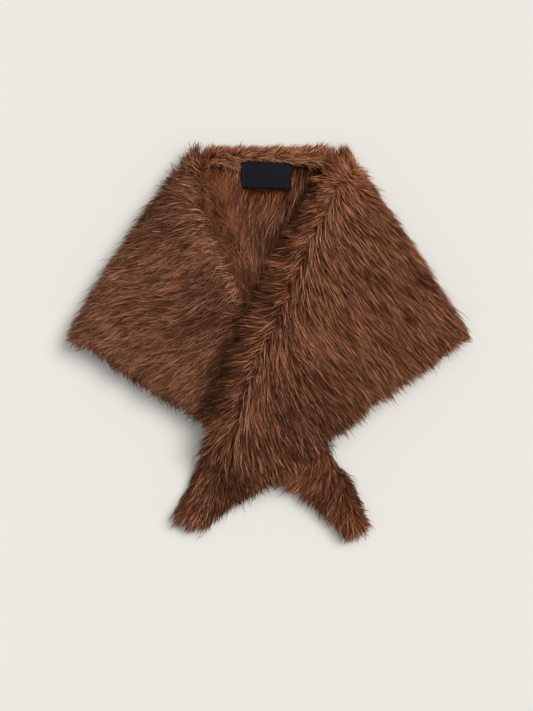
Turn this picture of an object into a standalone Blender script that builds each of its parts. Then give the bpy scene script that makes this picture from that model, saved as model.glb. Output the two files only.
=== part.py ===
"""Fur collar wrap: a long shallow triangle of double-faced fur cloth, folded at the shoulders, laid flat.

Metres, +Z up. +Y points to the neck and -Y to the crossed tips. The origin lies under the middle of the
laid wrap, on the surface that carries it. Left and right are as seen from above.
"""

from collections import namedtuple
from math import cos, pi, radians, sin

import bmesh
import bpy
from mathutils import Matrix, Vector

MM = 0.001

# Cloth with its pile, pressed by its own weight.
SHELL_THICKNESS = 8.5 * MM
FACING_THICKNESS = 9.3 * MM
FRONT_THICKNESS = 17.5 * MM

# Clearances: between the back's two plies, between layers that lie on each other, at butted seams.
PLY_GAP = 0.3 * MM
LAY_GAP = 0.8 * MM
SEAM_GAP = 0.3 * MM

BACK_TOP = SHELL_THICKNESS + PLY_GAP + FACING_THICKNESS
BACK_LAYER = BACK_TOP + LAY_GAP
FRONT_LAYER = FRONT_THICKNESS + LAY_GAP

# Shoulder fold: a front turns over this half round and runs on below, to the back's side seam.
FOLD_OUTER_RADIUS = (BACK_LAYER + FRONT_THICKNESS) / 2
FOLD_INNER_RADIUS = FOLD_OUTER_RADIUS - FRONT_THICKNESS
FOLD_RETURN = 3 * MM
FOLD_STEPS = 7

# Neck roll: the outer fur turned over the neck edge on to the inner side.
NECK_LINE_Y = 236 * MM
ROLL_OUTER_RADIUS = BACK_TOP / 2
ROLL_INNER_RADIUS = ROLL_OUTER_RADIUS - SHELL_THICKNESS
ROLL_RETURN = 12 * MM
ROLL_STEPS = 6
ROLL_AXIS_Y = NECK_LINE_Y - ROLL_OUTER_RADIUS

# The back's hem hangs in a soft point, a little inside the hems of the fronts that cover it.
BACK_HEM_TUCK = 5 * MM
BACK_HEM_DROP = 122 * MM
BACK_HEM_SHARPNESS = 1.15
BACK_ACROSS_STEPS = 14
BACK_DOWN_STEPS = 6

# How far past an edge below it a layer takes to sag to the surface.
DRAPE_REACH = 60 * MM

FRONT_ACROSS_STEPS = 16
STEPS_PER_SECTION = 5
RIM_STEPS = 4
NOSE_STEPS = 3
NOSE_ANGLE = radians(75)

LABEL_WIDTH = 61 * MM
LABEL_HEIGHT = 31 * MM
LABEL_THICKNESS = 1.0 * MM
LABEL_CORNER = 2.5 * MM
LABEL_CENTRE = (-3 * MM, 200 * MM)
LABEL_TURN = radians(-2)

OUTER_FUR_COLOUR = (0.170, 0.065, 0.028)
INNER_FUR_COLOUR = (0.160, 0.062, 0.028)
LABEL_COLOUR = (0.012, 0.012, 0.014)
FUR_ROUGHNESS = 0.85
FUR_SHEEN = 0.3
LABEL_ROUGHNESS = 0.7

# A front from its shoulder fold to its tip, in millimetres, by sections from the hem to the neck edge.
Section = namedtuple("Section", "hem_x hem_y neck_x neck_y")

LEFT_SECTIONS = (
    Section(hem_x=-221, hem_y=-10, neck_x=-77, neck_y=222),
    Section(hem_x=-178, hem_y=-34, neck_x=-71, neck_y=170),
    Section(hem_x=-132, hem_y=-59, neck_x=-42, neck_y=114),
    Section(hem_x=-89, hem_y=-86, neck_x=-17, neck_y=54),
    Section(hem_x=-51, hem_y=-115, neck_x=11, neck_y=5),
    Section(hem_x=-9, hem_y=-148, neck_x=43, neck_y=-52),
    Section(hem_x=31, hem_y=-178, neck_x=76, neck_y=-110),
    Section(hem_x=66, hem_y=-206, neck_x=100, neck_y=-162),
    Section(hem_x=95, hem_y=-230, neck_x=117, neck_y=-215),
)
RIGHT_SECTIONS = (
    Section(hem_x=221, hem_y=-8, neck_x=79, neck_y=222),
    Section(hem_x=186, hem_y=-33, neck_x=48, neck_y=173),
    Section(hem_x=148, hem_y=-60, neck_x=18, neck_y=116),
    Section(hem_x=109, hem_y=-89, neck_x=-5, neck_y=56),
    Section(hem_x=74, hem_y=-116, neck_x=-31, neck_y=1),
    Section(hem_x=35, hem_y=-144, neck_x=-54, neck_y=-61),
    Section(hem_x=-4, hem_y=-172, neck_x=-77, neck_y=-121),
    Section(hem_x=-40, hem_y=-194, neck_x=-96, neck_y=-172),
    Section(hem_x=-74, hem_y=-219, neck_x=-108, neck_y=-205),
)


def smoothstep(value):
    value = min(max(value, 0.0), 1.0)
    return value * value * (3 - 2 * value)


def smooth_curve(points, steps):
    """Points on a Catmull-Rom curve through the given ones."""
    curve = []
    last = len(points) - 1
    for i in range(last):
        before = points[max(i - 1, 0)]
        start = points[i]
        end = points[i + 1]
        after = points[min(i + 2, last)]
        for step in range(steps):
            t = step / steps
            bend = (2 * before - 5 * start + 4 * end - after) * t * t
            twist = (3 * (start - end) + after - before) * t * t * t
            curve.append(start + ((end - before) * t + bend + twist) / 2)
    curve.append(points[last])
    return curve


def front_edges(sections):
    """A front's hem and neck edge, both from the fold to the tip."""
    hem = smooth_curve([Vector((row.hem_x, row.hem_y)) * MM for row in sections], STEPS_PER_SECTION)
    neck = smooth_curve([Vector((row.neck_x, row.neck_y)) * MM for row in sections], STEPS_PER_SECTION)
    return hem, neck


def fold_directions(sections):
    """Unit directions along a fold towards the neck, and away from the wrap's middle."""
    hem = Vector((sections[0].hem_x, sections[0].hem_y))
    neck = Vector((sections[0].neck_x, sections[0].neck_y))
    along = (neck - hem).normalized()
    outward = Vector((-along.y, along.x))
    if outward.x * hem.x < 0:
        outward = -outward
    return along, outward


def side_seam(sections):
    """The ends at neck and hem of the line where the back meets a front's return."""
    along, outward = fold_directions(sections)
    hem = Vector((sections[0].hem_x, sections[0].hem_y)) * MM
    at_hem = hem - outward * (FOLD_RETURN + SEAM_GAP) + along * BACK_HEM_TUCK
    at_neck = at_hem + along * (ROLL_AXIS_Y - at_hem.y) / along.y
    return at_neck, at_hem


def back_hem():
    """The back's hem from its left to its right side seam."""
    left = side_seam(LEFT_SECTIONS)[1]
    right = side_seam(RIGHT_SECTIONS)[1]
    hem = []
    for step in range(BACK_ACROSS_STEPS + 1):
        across = step / BACK_ACROSS_STEPS
        drop = BACK_HEM_DROP * (1 - abs(2 * across - 1) ** BACK_HEM_SHARPNESS)
        hem.append(left.lerp(right, across) - Vector((0, drop)))
    return hem


def back_layer_outline():
    """The outline of the lower layer: the back and, at each side, the front's return."""
    left_hem, left_neck = front_edges(LEFT_SECTIONS)
    right_hem, right_neck = front_edges(RIGHT_SECTIONS)
    return [left_neck[0], left_hem[0]] + back_hem() + [right_hem[0], right_neck[0]]


def left_front_outline():
    hem, neck = front_edges(LEFT_SECTIONS)
    return hem + neck[::-1]


def distance_outside(point, outline):
    """Distance from a point to a closed outline, or 0 for a point inside it."""
    inside = False
    nearest = float("inf")
    for start, end in zip(outline, outline[1:] + outline[:1]):
        if (start.y > point.y) != (end.y > point.y):
            crossing_x = start.x + (end.x - start.x) * (point.y - start.y) / (end.y - start.y)
            inside = inside != (point.x < crossing_x)
        side = end - start
        share = min(max((point - start).dot(side) / side.length_squared, 0.0), 1.0)
        nearest = min(nearest, (point - start - side * share).length)
    return 0.0 if inside else nearest


def cover(point, outline):
    """1 on a layer, sinking to 0 over the drape's reach beyond its edge."""
    return 1 - smoothstep(distance_outside(point, outline) / DRAPE_REACH)


def left_front_height(point, outlines):
    """Height of the left front's underside."""
    return BACK_LAYER * cover(point, outlines["back"])


def right_front_height(point, outlines):
    """Height of the right front's underside, which lies over the left front."""
    return BACK_LAYER * cover(point, outlines["back"]) + FRONT_LAYER * cover(point, outlines["left_front"])


def ring_positions(steps):
    """One turn round a section: share of the way across, offset past the rim's centre, side of the cloth.

    The offset is in rim radii and the side runs from -1 on the inner face to 1 on the outer one.
    """
    turn = [pi * (i + 1) / RIM_STEPS for i in range(RIM_STEPS - 1)]
    outer = [(i / steps, 0.0, 1.0) for i in range(steps + 1)]
    neck_rim = [(1.0, sin(angle), cos(angle)) for angle in turn]
    inner = [(1 - i / steps, 0.0, -1.0) for i in range(steps + 1)]
    hem_rim = [(0.0, -sin(angle), -cos(angle)) for angle in turn]
    return outer + neck_rim + inner + hem_rim


def across_point(hem, neck, share, offset, radius):
    """A place in plan on a section that keeps the rim's radius clear at each end."""
    direction = (neck - hem).normalized()
    start = hem + direction * radius
    end = neck - direction * radius
    return start.lerp(end, share) + direction * offset * radius


def lofted_solid(name, rings, outer_steps):
    """A closed solid through rings of equal point counts, each end closed by a ladder of faces."""
    mesh = bpy.data.meshes.new(name)
    form = bmesh.new()
    loops = [[form.verts.new(point) for point in ring] for ring in rings]
    count = len(loops[0])
    for ring, following in zip(loops, loops[1:]):
        for i in range(count):
            j = (i + 1) % count
            form.faces.new((ring[i], ring[j], following[j], following[i]))
    for ring in (loops[0], loops[-1]):
        close_end(form, ring, outer_steps)
    bmesh.ops.recalc_face_normals(form, faces=form.faces)
    form.to_mesh(mesh)
    form.free()
    mesh.shade_smooth()
    mesh.set_sharp_from_angle(angle=radians(35))
    solid = bpy.data.objects.new(name, mesh)
    bpy.context.scene.collection.objects.link(solid)
    return solid


def close_end(form, ring, outer_steps):
    """Joins the outer points of a ring to the inner ones that face them."""
    count = len(ring)
    rim = count // 2 - outer_steps - 1
    half_rim = (rim + 1) // 2
    for i in range(-half_rim, outer_steps + half_rim):
        j = 2 * outer_steps + rim + 1 - i
        corners = [ring[i % count], ring[(i + 1) % count], ring[(j - 1) % count], ring[j % count]]
        unique = [corner for k, corner in enumerate(corners) if corner not in corners[:k]]
        form.faces.new(unique)


def front_rings(sections, underside, outlines):
    """A front's sections: return, shoulder fold, the lie over the layers below, rounded tip."""
    positions = ring_positions(FRONT_ACROSS_STEPS)
    radius = FRONT_THICKNESS / 2
    hem, neck = front_edges(sections)
    outward = fold_directions(sections)[1]

    def fold_ring(angle, inset):
        ring = []
        for share, offset, side in positions:
            place = across_point(hem[0], neck[0], share, offset, radius)
            arm = FOLD_INNER_RADIUS + FRONT_THICKNESS * (side + 1) / 2
            place = place + outward * (arm * sin(angle) - inset)
            ring.append(Vector((place.x, place.y, FOLD_OUTER_RADIUS + arm * cos(angle))))
        return ring

    rings = [fold_ring(pi, FOLD_RETURN)]
    rings += [fold_ring(pi * (1 - i / FOLD_STEPS), 0.0) for i in range(FOLD_STEPS)]

    for hem_point, neck_point in zip(hem, neck):
        ring = []
        for share, offset, side in positions:
            place = across_point(hem_point, neck_point, share, offset, radius)
            height = underside(place, outlines) + FRONT_THICKNESS * (side + 1) / 2
            ring.append(Vector((place.x, place.y, height)))
        rings.append(ring)

    middle = (hem[-1] + neck[-1]) / 2
    nose = (neck[-1] - hem[-1]).length / 2
    onward = (middle - (hem[-2] + neck[-2]) / 2).normalized()
    last_ring = rings[-1]
    for step in range(1, NOSE_STEPS + 1):
        angle = NOSE_ANGLE * step / NOSE_STEPS
        ring = []
        for point in last_ring:
            spread = (Vector((point.x, point.y)) - middle) * cos(angle)
            place = middle + spread + onward * nose * sin(angle)
            height = radius + (point.z - radius) * cos(angle)
            ring.append(Vector((place.x, place.y, height)))
        rings.append(ring)
    return rings


def make_front(name, sections, underside, outlines):
    rings = front_rings(sections, underside, outlines)
    return lofted_solid(name, rings, FRONT_ACROSS_STEPS)


def side_at(seam, height_y):
    """Where a side seam, drawn on past its ends, reaches a given Y."""
    at_neck, at_hem = seam
    share = (height_y - at_hem.y) / (at_neck.y - at_hem.y)
    return at_hem.lerp(at_neck, share)


def straight_row(height_y):
    """Points across the back from seam to seam at one Y."""
    left = side_at(side_seam(LEFT_SECTIONS), height_y)
    right = side_at(side_seam(RIGHT_SECTIONS), height_y)
    return [left.lerp(right, i / BACK_ACROSS_STEPS) for i in range(BACK_ACROSS_STEPS + 1)]


def ply_ring(row, bottom, top):
    """A section of a ply: its top points from left to right, then its bottom ones back."""
    outer = [Vector((point.x, point.y, top)) for point in row]
    inner = [Vector((point.x, point.y, bottom)) for point in row]
    return outer + inner[::-1]


def flat_ply_rings(first_row, bottom, thickness):
    """A flat ply from its neck edge to a hem with a rounded rim."""
    radius = thickness / 2
    middle = bottom + radius
    left_along = fold_directions(LEFT_SECTIONS)[0]
    right_along = fold_directions(RIGHT_SECTIONS)[0]
    shares = [i / BACK_ACROSS_STEPS for i in range(BACK_ACROSS_STEPS + 1)]
    upward = [left_along.lerp(right_along, share).normalized() for share in shares]
    hem = [point + direction * radius for point, direction in zip(back_hem(), upward)]
    rings = []
    for step in range(BACK_DOWN_STEPS + 1):
        row = [start.lerp(end, step / BACK_DOWN_STEPS) for start, end in zip(first_row, hem)]
        rings.append(ply_ring(row, bottom, bottom + thickness))
    for step in range(1, NOSE_STEPS + 1):
        angle = NOSE_ANGLE * step / NOSE_STEPS
        row = [point - direction * radius * sin(angle) for point, direction in zip(hem, upward)]
        half = radius * cos(angle)
        rings.append(ply_ring(row, middle - half, middle + half))
    return rings


def make_back_shell():
    """The outer fur of the back, turned over at the neck."""
    rings = []
    for angle, inset in [(0.0, ROLL_RETURN)] + [(pi * i / ROLL_STEPS, 0.0) for i in range(ROLL_STEPS)]:
        faces = []
        for arm in (ROLL_OUTER_RADIUS, ROLL_INNER_RADIUS):
            row = straight_row(ROLL_AXIS_Y - inset + arm * sin(angle))
            height = ROLL_OUTER_RADIUS + arm * cos(angle)
            faces.append([Vector((point.x, point.y, height)) for point in row])
        outer, inner = faces
        rings.append(inner + outer[::-1])
    rings += flat_ply_rings(straight_row(ROLL_AXIS_Y), 0.0, SHELL_THICKNESS)
    return lofted_solid("back_shell", rings, BACK_ACROSS_STEPS)


def make_back_facing():
    """The inner fur of the back, from the neck roll's edge to the hem."""
    first_row = straight_row(ROLL_AXIS_Y - ROLL_RETURN - SEAM_GAP)
    rings = flat_ply_rings(first_row, SHELL_THICKNESS + PLY_GAP, FACING_THICKNESS)
    return lofted_solid("back_facing", rings, BACK_ACROSS_STEPS)


def make_label():
    """A plain woven tab on the inner fur, its long side along the neck."""
    mesh = bpy.data.meshes.new("label")
    form = bmesh.new()
    bmesh.ops.create_cube(form, size=1.0)
    bmesh.ops.scale(form, vec=(LABEL_WIDTH, LABEL_HEIGHT, LABEL_THICKNESS), verts=form.verts)
    half = LABEL_THICKNESS / 2
    uprights = [edge for edge in form.edges if abs(edge.verts[0].co.z - edge.verts[1].co.z) > half]
    bmesh.ops.bevel(form, geom=uprights, offset=LABEL_CORNER, segments=4, profile=0.5, affect="EDGES")
    lift = BACK_TOP + SEAM_GAP + half
    place = Matrix.Translation((*LABEL_CENTRE, lift)) @ Matrix.Rotation(LABEL_TURN, 4, "Z")
    bmesh.ops.transform(form, matrix=place, verts=form.verts)
    form.to_mesh(mesh)
    form.free()
    label = bpy.data.objects.new("label", mesh)
    bpy.context.scene.collection.objects.link(label)
    return label


def give_material(solid, colour, roughness, sheen):
    material = bpy.data.materials.new(solid.name + "_material")
    material.use_nodes = True
    shader = material.node_tree.nodes["Principled BSDF"]
    shader.inputs["Base Color"].default_value = (*colour, 1)
    shader.inputs["Roughness"].default_value = roughness
    shader.inputs["Metallic"].default_value = 0.0
    shader.inputs["Sheen Weight"].default_value = sheen
    solid.data.materials.append(material)


for old in list(bpy.data.objects):
    bpy.data.objects.remove(old, do_unlink=True)

outlines = {"back": back_layer_outline(), "left_front": left_front_outline()}

shell = make_back_shell()
facing = make_back_facing()
left_front = make_front("left_front", LEFT_SECTIONS, left_front_height, outlines)
right_front = make_front("right_front", RIGHT_SECTIONS, right_front_height, outlines)
label = make_label()

for solid in (shell, left_front, right_front):
    give_material(solid, OUTER_FUR_COLOUR, FUR_ROUGHNESS, FUR_SHEEN)
give_material(facing, INNER_FUR_COLOUR, FUR_ROUGHNESS, FUR_SHEEN)
give_material(label, LABEL_COLOUR, LABEL_ROUGHNESS, 0.0)
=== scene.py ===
from collections import namedtuple
from math import cos, pi, radians, sin, tau

import bpy
import numpy as np
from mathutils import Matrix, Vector
from mathutils.bvhtree import BVHTree


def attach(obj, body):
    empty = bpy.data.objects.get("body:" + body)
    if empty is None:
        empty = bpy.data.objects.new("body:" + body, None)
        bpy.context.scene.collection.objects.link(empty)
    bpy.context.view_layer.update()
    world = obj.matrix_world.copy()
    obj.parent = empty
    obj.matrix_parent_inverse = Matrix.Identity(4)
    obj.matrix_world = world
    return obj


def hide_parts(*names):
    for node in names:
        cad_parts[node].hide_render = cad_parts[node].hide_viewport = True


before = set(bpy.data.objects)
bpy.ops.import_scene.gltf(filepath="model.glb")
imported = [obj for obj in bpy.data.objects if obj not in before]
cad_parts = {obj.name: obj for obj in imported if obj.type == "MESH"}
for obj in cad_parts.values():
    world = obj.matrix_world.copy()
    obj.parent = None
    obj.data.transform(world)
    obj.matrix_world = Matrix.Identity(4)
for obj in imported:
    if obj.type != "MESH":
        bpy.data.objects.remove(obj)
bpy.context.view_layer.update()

# The wrap lies flat on a pale surface and is looked at from straight above, its neck to the top.
# The camera stands a little to the left of the cloth's middle and well back, so that the view is flat.
MM = 0.001
VIEW_CENTRE = (-1.8 * MM, -15.0 * MM)
VIEW_LENGTH = 853 * MM
VIEW_LEVEL = 20 * MM
LENS = 85
SENSOR = 36

camera_data = bpy.data.cameras.new("camera")
camera_data.lens = LENS
camera_data.sensor_width = SENSOR
camera = bpy.data.objects.new("camera", camera_data)
camera.location = (*VIEW_CENTRE, VIEW_LEVEL + VIEW_LENGTH * LENS / SENSOR)
bpy.context.scene.collection.objects.link(camera)
bpy.context.scene.camera = camera

# The surface is a plain warm white sheet. A broad soft key comes from the upper right and throws a short
# shadow to the lower left, a wide soft box hangs overhead, and pale walls all round fill the rest in.
FLOOR_SIZE = 8.0
FLOOR_COLOUR = (0.825, 0.800, 0.757)
FLOOR_ROUGHNESS = 0.9
KEY_STRENGTH = 1.98
KEY_SOFTNESS = radians(34)
KEY_FROM = Vector((0.58, 0.34, 0.95))
OVERHEAD_STRENGTH = 0.95
OVERHEAD_SOFTNESS = radians(70)
OVERHEAD_FROM = Vector((0.1, 0.05, 1.0))
LIGHT_COLOUR = (1.0, 0.988, 0.965)
FILL_COLOUR = (0.93, 0.97, 1.0)
FILL_STRENGTH = 0.22
WALL_BRIGHTNESS = 0.78


def set_inputs(node, values):
    for name, value in values.items():
        node.inputs[name].default_value = value


bpy.ops.object.select_all(action="DESELECT")
bpy.ops.mesh.primitive_plane_add(size=FLOOR_SIZE, location=(0, 0, 0))
floor = bpy.context.object
floor.name = "floor"
floor_material = bpy.data.materials.new("warm_white_sheet")
floor_material.use_nodes = True
floor_shader = floor_material.node_tree.nodes["Principled BSDF"]
floor_finish = {"Base Color": (*FLOOR_COLOUR, 1), "Roughness": FLOOR_ROUGHNESS, "Specular IOR Level": 0.1}
set_inputs(floor_shader, floor_finish)
floor.data.materials.append(floor_material)


def soft_light(name, strength, softness, direction):
    lamp = bpy.data.lights.new(name, "SUN")
    lamp.energy = strength
    lamp.angle = softness
    lamp.color = LIGHT_COLOUR
    light = bpy.data.objects.new(name, lamp)
    light.rotation_euler = direction.to_track_quat("Z", "Y").to_euler()
    bpy.context.scene.collection.objects.link(light)


soft_light("key", KEY_STRENGTH, KEY_SOFTNESS, KEY_FROM)
soft_light("overhead", OVERHEAD_STRENGTH, OVERHEAD_SOFTNESS, OVERHEAD_FROM)

walls = bpy.data.worlds.new("pale_walls")
walls.use_nodes = True
wall_nodes = walls.node_tree.nodes
wall_light = wall_nodes["Background"]
set_inputs(wall_light, {"Color": (*FILL_COLOUR, 1), "Strength": FILL_STRENGTH})
seen_wall = wall_nodes.new("ShaderNodeBackground")
set_inputs(seen_wall, {"Color": (*FLOOR_COLOUR, 1), "Strength": WALL_BRIGHTNESS})
wall_path = wall_nodes.new("ShaderNodeLightPath")
wall_mix = wall_nodes.new("ShaderNodeMixShader")
wall_link = walls.node_tree.links.new
wall_link(wall_path.outputs["Is Camera Ray"], wall_mix.inputs["Fac"])
wall_link(wall_light.outputs["Background"], wall_mix.inputs[1])
wall_link(seen_wall.outputs["Background"], wall_mix.inputs[2])
wall_link(wall_mix.outputs["Shader"], wall_nodes["World Output"].inputs["Surface"])
bpy.context.scene.world = walls
bpy.context.scene.view_settings.view_transform = "Standard"

# Back, outer fur: one panel of knitted backing with its pile down on the surface. At the neck it turns
# over on to the inner side as a soft roll, and its hem hangs in a point inside the fronts' hems.
Section = namedtuple("Section", "hem_x hem_y neck_x neck_y")


def table(columns, *rows):
    """Rows placed one by one, each under the columns' names. Places and lengths are in mm, turns in degrees.
    """
    return tuple(columns(*row) for row in rows)


LEFT_SECTIONS = table(
    Section,
    (-221, -10, -77, 222),
    (-178, -34, -71, 170),
    (-132, -59, -42, 114),
    (-89, -86, -17, 54),
    (-51, -115, 11, 5),
    (-9, -148, 43, -52),
    (31, -178, 76, -110),
    (66, -206, 100, -162),
    (95, -230, 117, -215),
)
RIGHT_SECTIONS = table(
    Section,
    (221, -8, 79, 222),
    (186, -33, 48, 173),
    (148, -60, 18, 116),
    (109, -89, -5, 56),
    (74, -116, -31, 1),
    (35, -144, -54, -61),
    (-4, -172, -77, -121),
    (-40, -194, -96, -172),
    (-74, -219, -108, -205),
)
EDGE_STEPS = 6
BACK_TOP = 18.1 * MM
BACKING_THICKNESS = 2.8 * MM
SHELL_MIDDLE = 4.4 * MM
ROLL_AXIS = (223.5 * MM, BACK_TOP / 2)
ROLL_ARM = BACK_TOP / 2 - SHELL_MIDDLE
ROLL_RETURN = 8.5 * MM
ROLL_STEPS = 8
SIDE_INSET = 4 * MM
BACK_HEM_TUCK = 12 * MM
BACK_HEM_DROP = 122 * MM
BACK_HEM_SHARPNESS = 1.15
BACK_STEPS_ACROSS = 30
BACK_STEPS_DOWN = 24


def smoothstep(value):
    value = np.clip(value, 0.0, 1.0)
    return value * value * (3 - 2 * value)


def smooth_curve(points, steps):
    """Points on a Catmull-Rom curve through the given ones."""
    curve = []
    last = len(points) - 1
    for i in range(last):
        before = points[max(i - 1, 0)]
        start = points[i]
        end = points[i + 1]
        after = points[min(i + 2, last)]
        for step in range(steps):
            t = step / steps
            bend = (2 * before - 5 * start + 4 * end - after) * t * t
            twist = (3 * (start - end) + after - before) * t * t * t
            curve.append(start + ((end - before) * t + bend + twist) / 2)
    curve.append(points[last])
    return np.array(curve)


def front_edges(sections):
    """A front's hem and neck edge in plan, both from the shoulder fold to the tip."""
    hem = smooth_curve([np.array((row.hem_x, row.hem_y)) * MM for row in sections], EDGE_STEPS)
    neck = smooth_curve([np.array((row.neck_x, row.neck_y)) * MM for row in sections], EDGE_STEPS)
    return hem, neck


def unit(vectors):
    length = np.linalg.norm(vectors, axis=-1, keepdims=True)
    return vectors / np.maximum(length, 1e-9)


def fold_directions(sections):
    """Unit directions along a shoulder fold towards the neck, and away from the wrap's middle."""
    hem, neck = front_edges(sections)
    along = unit(neck[0] - hem[0])
    outward = np.array((-along[1], along[0]))
    return along, outward * np.sign(outward[0] * hem[0][0])


def side_seam(sections):
    """The ends at hem and neck of the back's side, where it meets a front's return."""
    along, outward = fold_directions(sections)
    hem = front_edges(sections)[0][0]
    at_hem = hem - outward * SIDE_INSET + along * BACK_HEM_TUCK
    at_neck = at_hem + along * (ROLL_AXIS[0] - at_hem[1]) / along[1]
    return at_hem, at_neck


def across_back(y):
    """Points across the back from seam to seam at one Y."""
    ends = []
    for sections in (LEFT_SECTIONS, RIGHT_SECTIONS):
        at_hem, at_neck = side_seam(sections)
        ends.append(at_hem + (at_neck - at_hem) * (y - at_hem[1]) / (at_neck[1] - at_hem[1]))
    shares = np.linspace(0, 1, BACK_STEPS_ACROSS + 1)[:, None]
    return ends[0] * (1 - shares) + ends[1] * shares


def back_hem():
    shares = np.linspace(0, 1, BACK_STEPS_ACROSS + 1)[:, None]
    hem = side_seam(LEFT_SECTIONS)[0] * (1 - shares) + side_seam(RIGHT_SECTIONS)[0] * shares
    hem[:, 1:] -= BACK_HEM_DROP * (1 - abs(2 * shares - 1) ** BACK_HEM_SHARPNESS)
    return hem


def at_height(row, height):
    """Points of a plan row, lifted to one height or to one height each."""
    return np.column_stack((row, np.broadcast_to(height, len(row))))


def give_wall(piece, thickness):
    """The only selected piece, thickened evenly to both sides."""
    bpy.ops.object.select_all(action="DESELECT")
    bpy.context.view_layer.objects.active = piece
    piece.select_set(True)
    wall = piece.modifiers.new("wall", "SOLIDIFY")
    wall.thickness = thickness
    wall.offset = 0
    bpy.ops.object.modifier_apply(modifier="wall")


def cloth(name, rows, thickness):
    """A closed thin cloth whose middle runs through equal rows of points."""
    across = len(rows[0])
    points = np.concatenate(rows)
    faces = []
    for i in range(len(rows) - 1):
        for j in range(across - 1):
            corner = i * across + j
            faces.append((corner, corner + 1, corner + across + 1, corner + across))
    mesh = bpy.data.meshes.new(name)
    mesh.from_pydata(points.tolist(), [], faces)
    piece = bpy.data.objects.new(name, mesh)
    bpy.context.scene.collection.objects.link(piece)
    give_wall(piece, thickness)
    bpy.ops.object.mode_set(mode="EDIT")
    bpy.ops.mesh.select_all(action="SELECT")
    bpy.ops.mesh.normals_make_consistent(inside=False)
    bpy.ops.object.mode_set(mode="OBJECT")
    piece.data.shade_smooth()
    return piece


roll_angles = np.linspace(0, pi, ROLL_STEPS + 1)
shell_rows = [at_height(across_back(ROLL_AXIS[0] - ROLL_RETURN), ROLL_AXIS[1] + ROLL_ARM)]
for angle in roll_angles:
    roll_row = across_back(ROLL_AXIS[0] + ROLL_ARM * sin(angle))
    shell_rows.append(at_height(roll_row, ROLL_AXIS[1] + ROLL_ARM * cos(angle)))
for down in np.linspace(0, 1, BACK_STEPS_DOWN + 1)[1:]:
    shell_row = across_back(ROLL_AXIS[0]) * (1 - down) + back_hem() * down
    shell_rows.append(at_height(shell_row, SHELL_MIDDLE))
back_shell = cloth("back_shell_cloth", shell_rows, BACKING_THICKNESS)


# Fur: each hair is a tapered ribbon, rooted in the backing, that rises from it and bends over along the
# nap. A few hairs close to a tuft at their tips, and tufts lean together into locks.
PILE_MAP = "OFBake"
MAP_MARGIN = 0.01
MAP_RIBBON = 0.004
HAIR_FADE = (1.0, 0.35, -0.05)
HAIR_STIFFNESS = 0.35
RISE_SPREAD = 0.18
REACH_SPREAD = 0.13
WANDER = radians(6)
WANDER_SIZE = 34 * MM
RUFFLE = radians(5)
RUFFLE_SIZE = 13 * MM
LOCK_REACH = 14 * MM
LOCK_BATCH = 2000
RIBBON_ROLL = 0.9
HAIR_TAPER = (0.85, 1.0, 0.75)
HAIR_WIDTH = 0.62 * MM
SKYWARD = 0.97
FLOOR_CLEARANCE = 0.6 * MM
HAIR_REACH = (0.72, 1.12)
HAIR_LOFT = 0.9 * MM
HAIR_CURL = 0.5
TUFT_CURL = 0.6
CURL_RATE = 3.4
STRAY_SPREAD = -0.8
WIDTH_SPREAD = (0.75, 1.2)
SOFT_NARROWING = 0.25
SOFT_EVENNESS = 0.75
SOFT_UNRULE = 1.2
SOFT_APART = 0.8
LOOSE_PULL = 1.8
LOOSE_TONE = 1.6
WISP_SHARE = 0.04
WISP_LENGTH = 1.4
CROWDED_HEIGHT = 54 * MM
CROWDED_ROOM = 11 * MM
PARTING_PAINTED_LIGHT = 0.5
TONE_BY_STREAK = 0.12
TONE_BY_TUFT = 0.06
TONE_BY_LOCK = 0.03
PATCH_SIZE = 60 * MM
PATCH_TONE = 0.04
STREAK_CELLS = 512
STREAK_WIDTH = 1.0 * MM
STREAK_STEP = 3.5 * MM
STREAK_STEPS = 4
STREAK_LIFT = 0.10
TONE_GAINS = (1.0, 1.10, 1.20)
SOFT_TOP = 0.22
FARTHEST = 246.5 * MM
Nap = namedtuple("Nap", "x y heading lift length soft", defaults=(0.0,))
# Each spot paints light or shade into the fur's tone: a lighter patch where light falls, a darker one where
# shadow lies.
PaintedLight = namedtuple("PaintedLight", "x y reach tone")
Pile = namedtuple("Pile", "tuft_area hairs tuft_radius gather lock_tufts lock_gather stray curl unrule tone")
OUTER_PILE = Pile(
    tuft_area=2.7,
    hairs=3,
    tuft_radius=0.9,
    gather=0.45,
    lock_tufts=9,
    lock_gather=0.17,
    stray=0.12,
    curl=0.35,
    unrule=7,
    tone=0.26,
)


class Ripple:
    """A smooth unevenness over the plan, about -1 to 1, of the given size."""

    def __init__(self, size, seed, waves=9):
        source = np.random.default_rng(seed)
        turn = source.uniform(0, tau, waves)
        rate = tau / size * source.uniform(0.6, 1.5, waves)
        self.waves = np.stack((np.cos(turn) * rate, np.sin(turn) * rate))
        self.phase = source.uniform(0, tau, waves)

    def __call__(self, places):
        total = np.sin(places[:, :2] @ self.waves + self.phase).sum(1)
        return total / np.sqrt(len(self.phase) / 2) / 1.6


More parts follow.
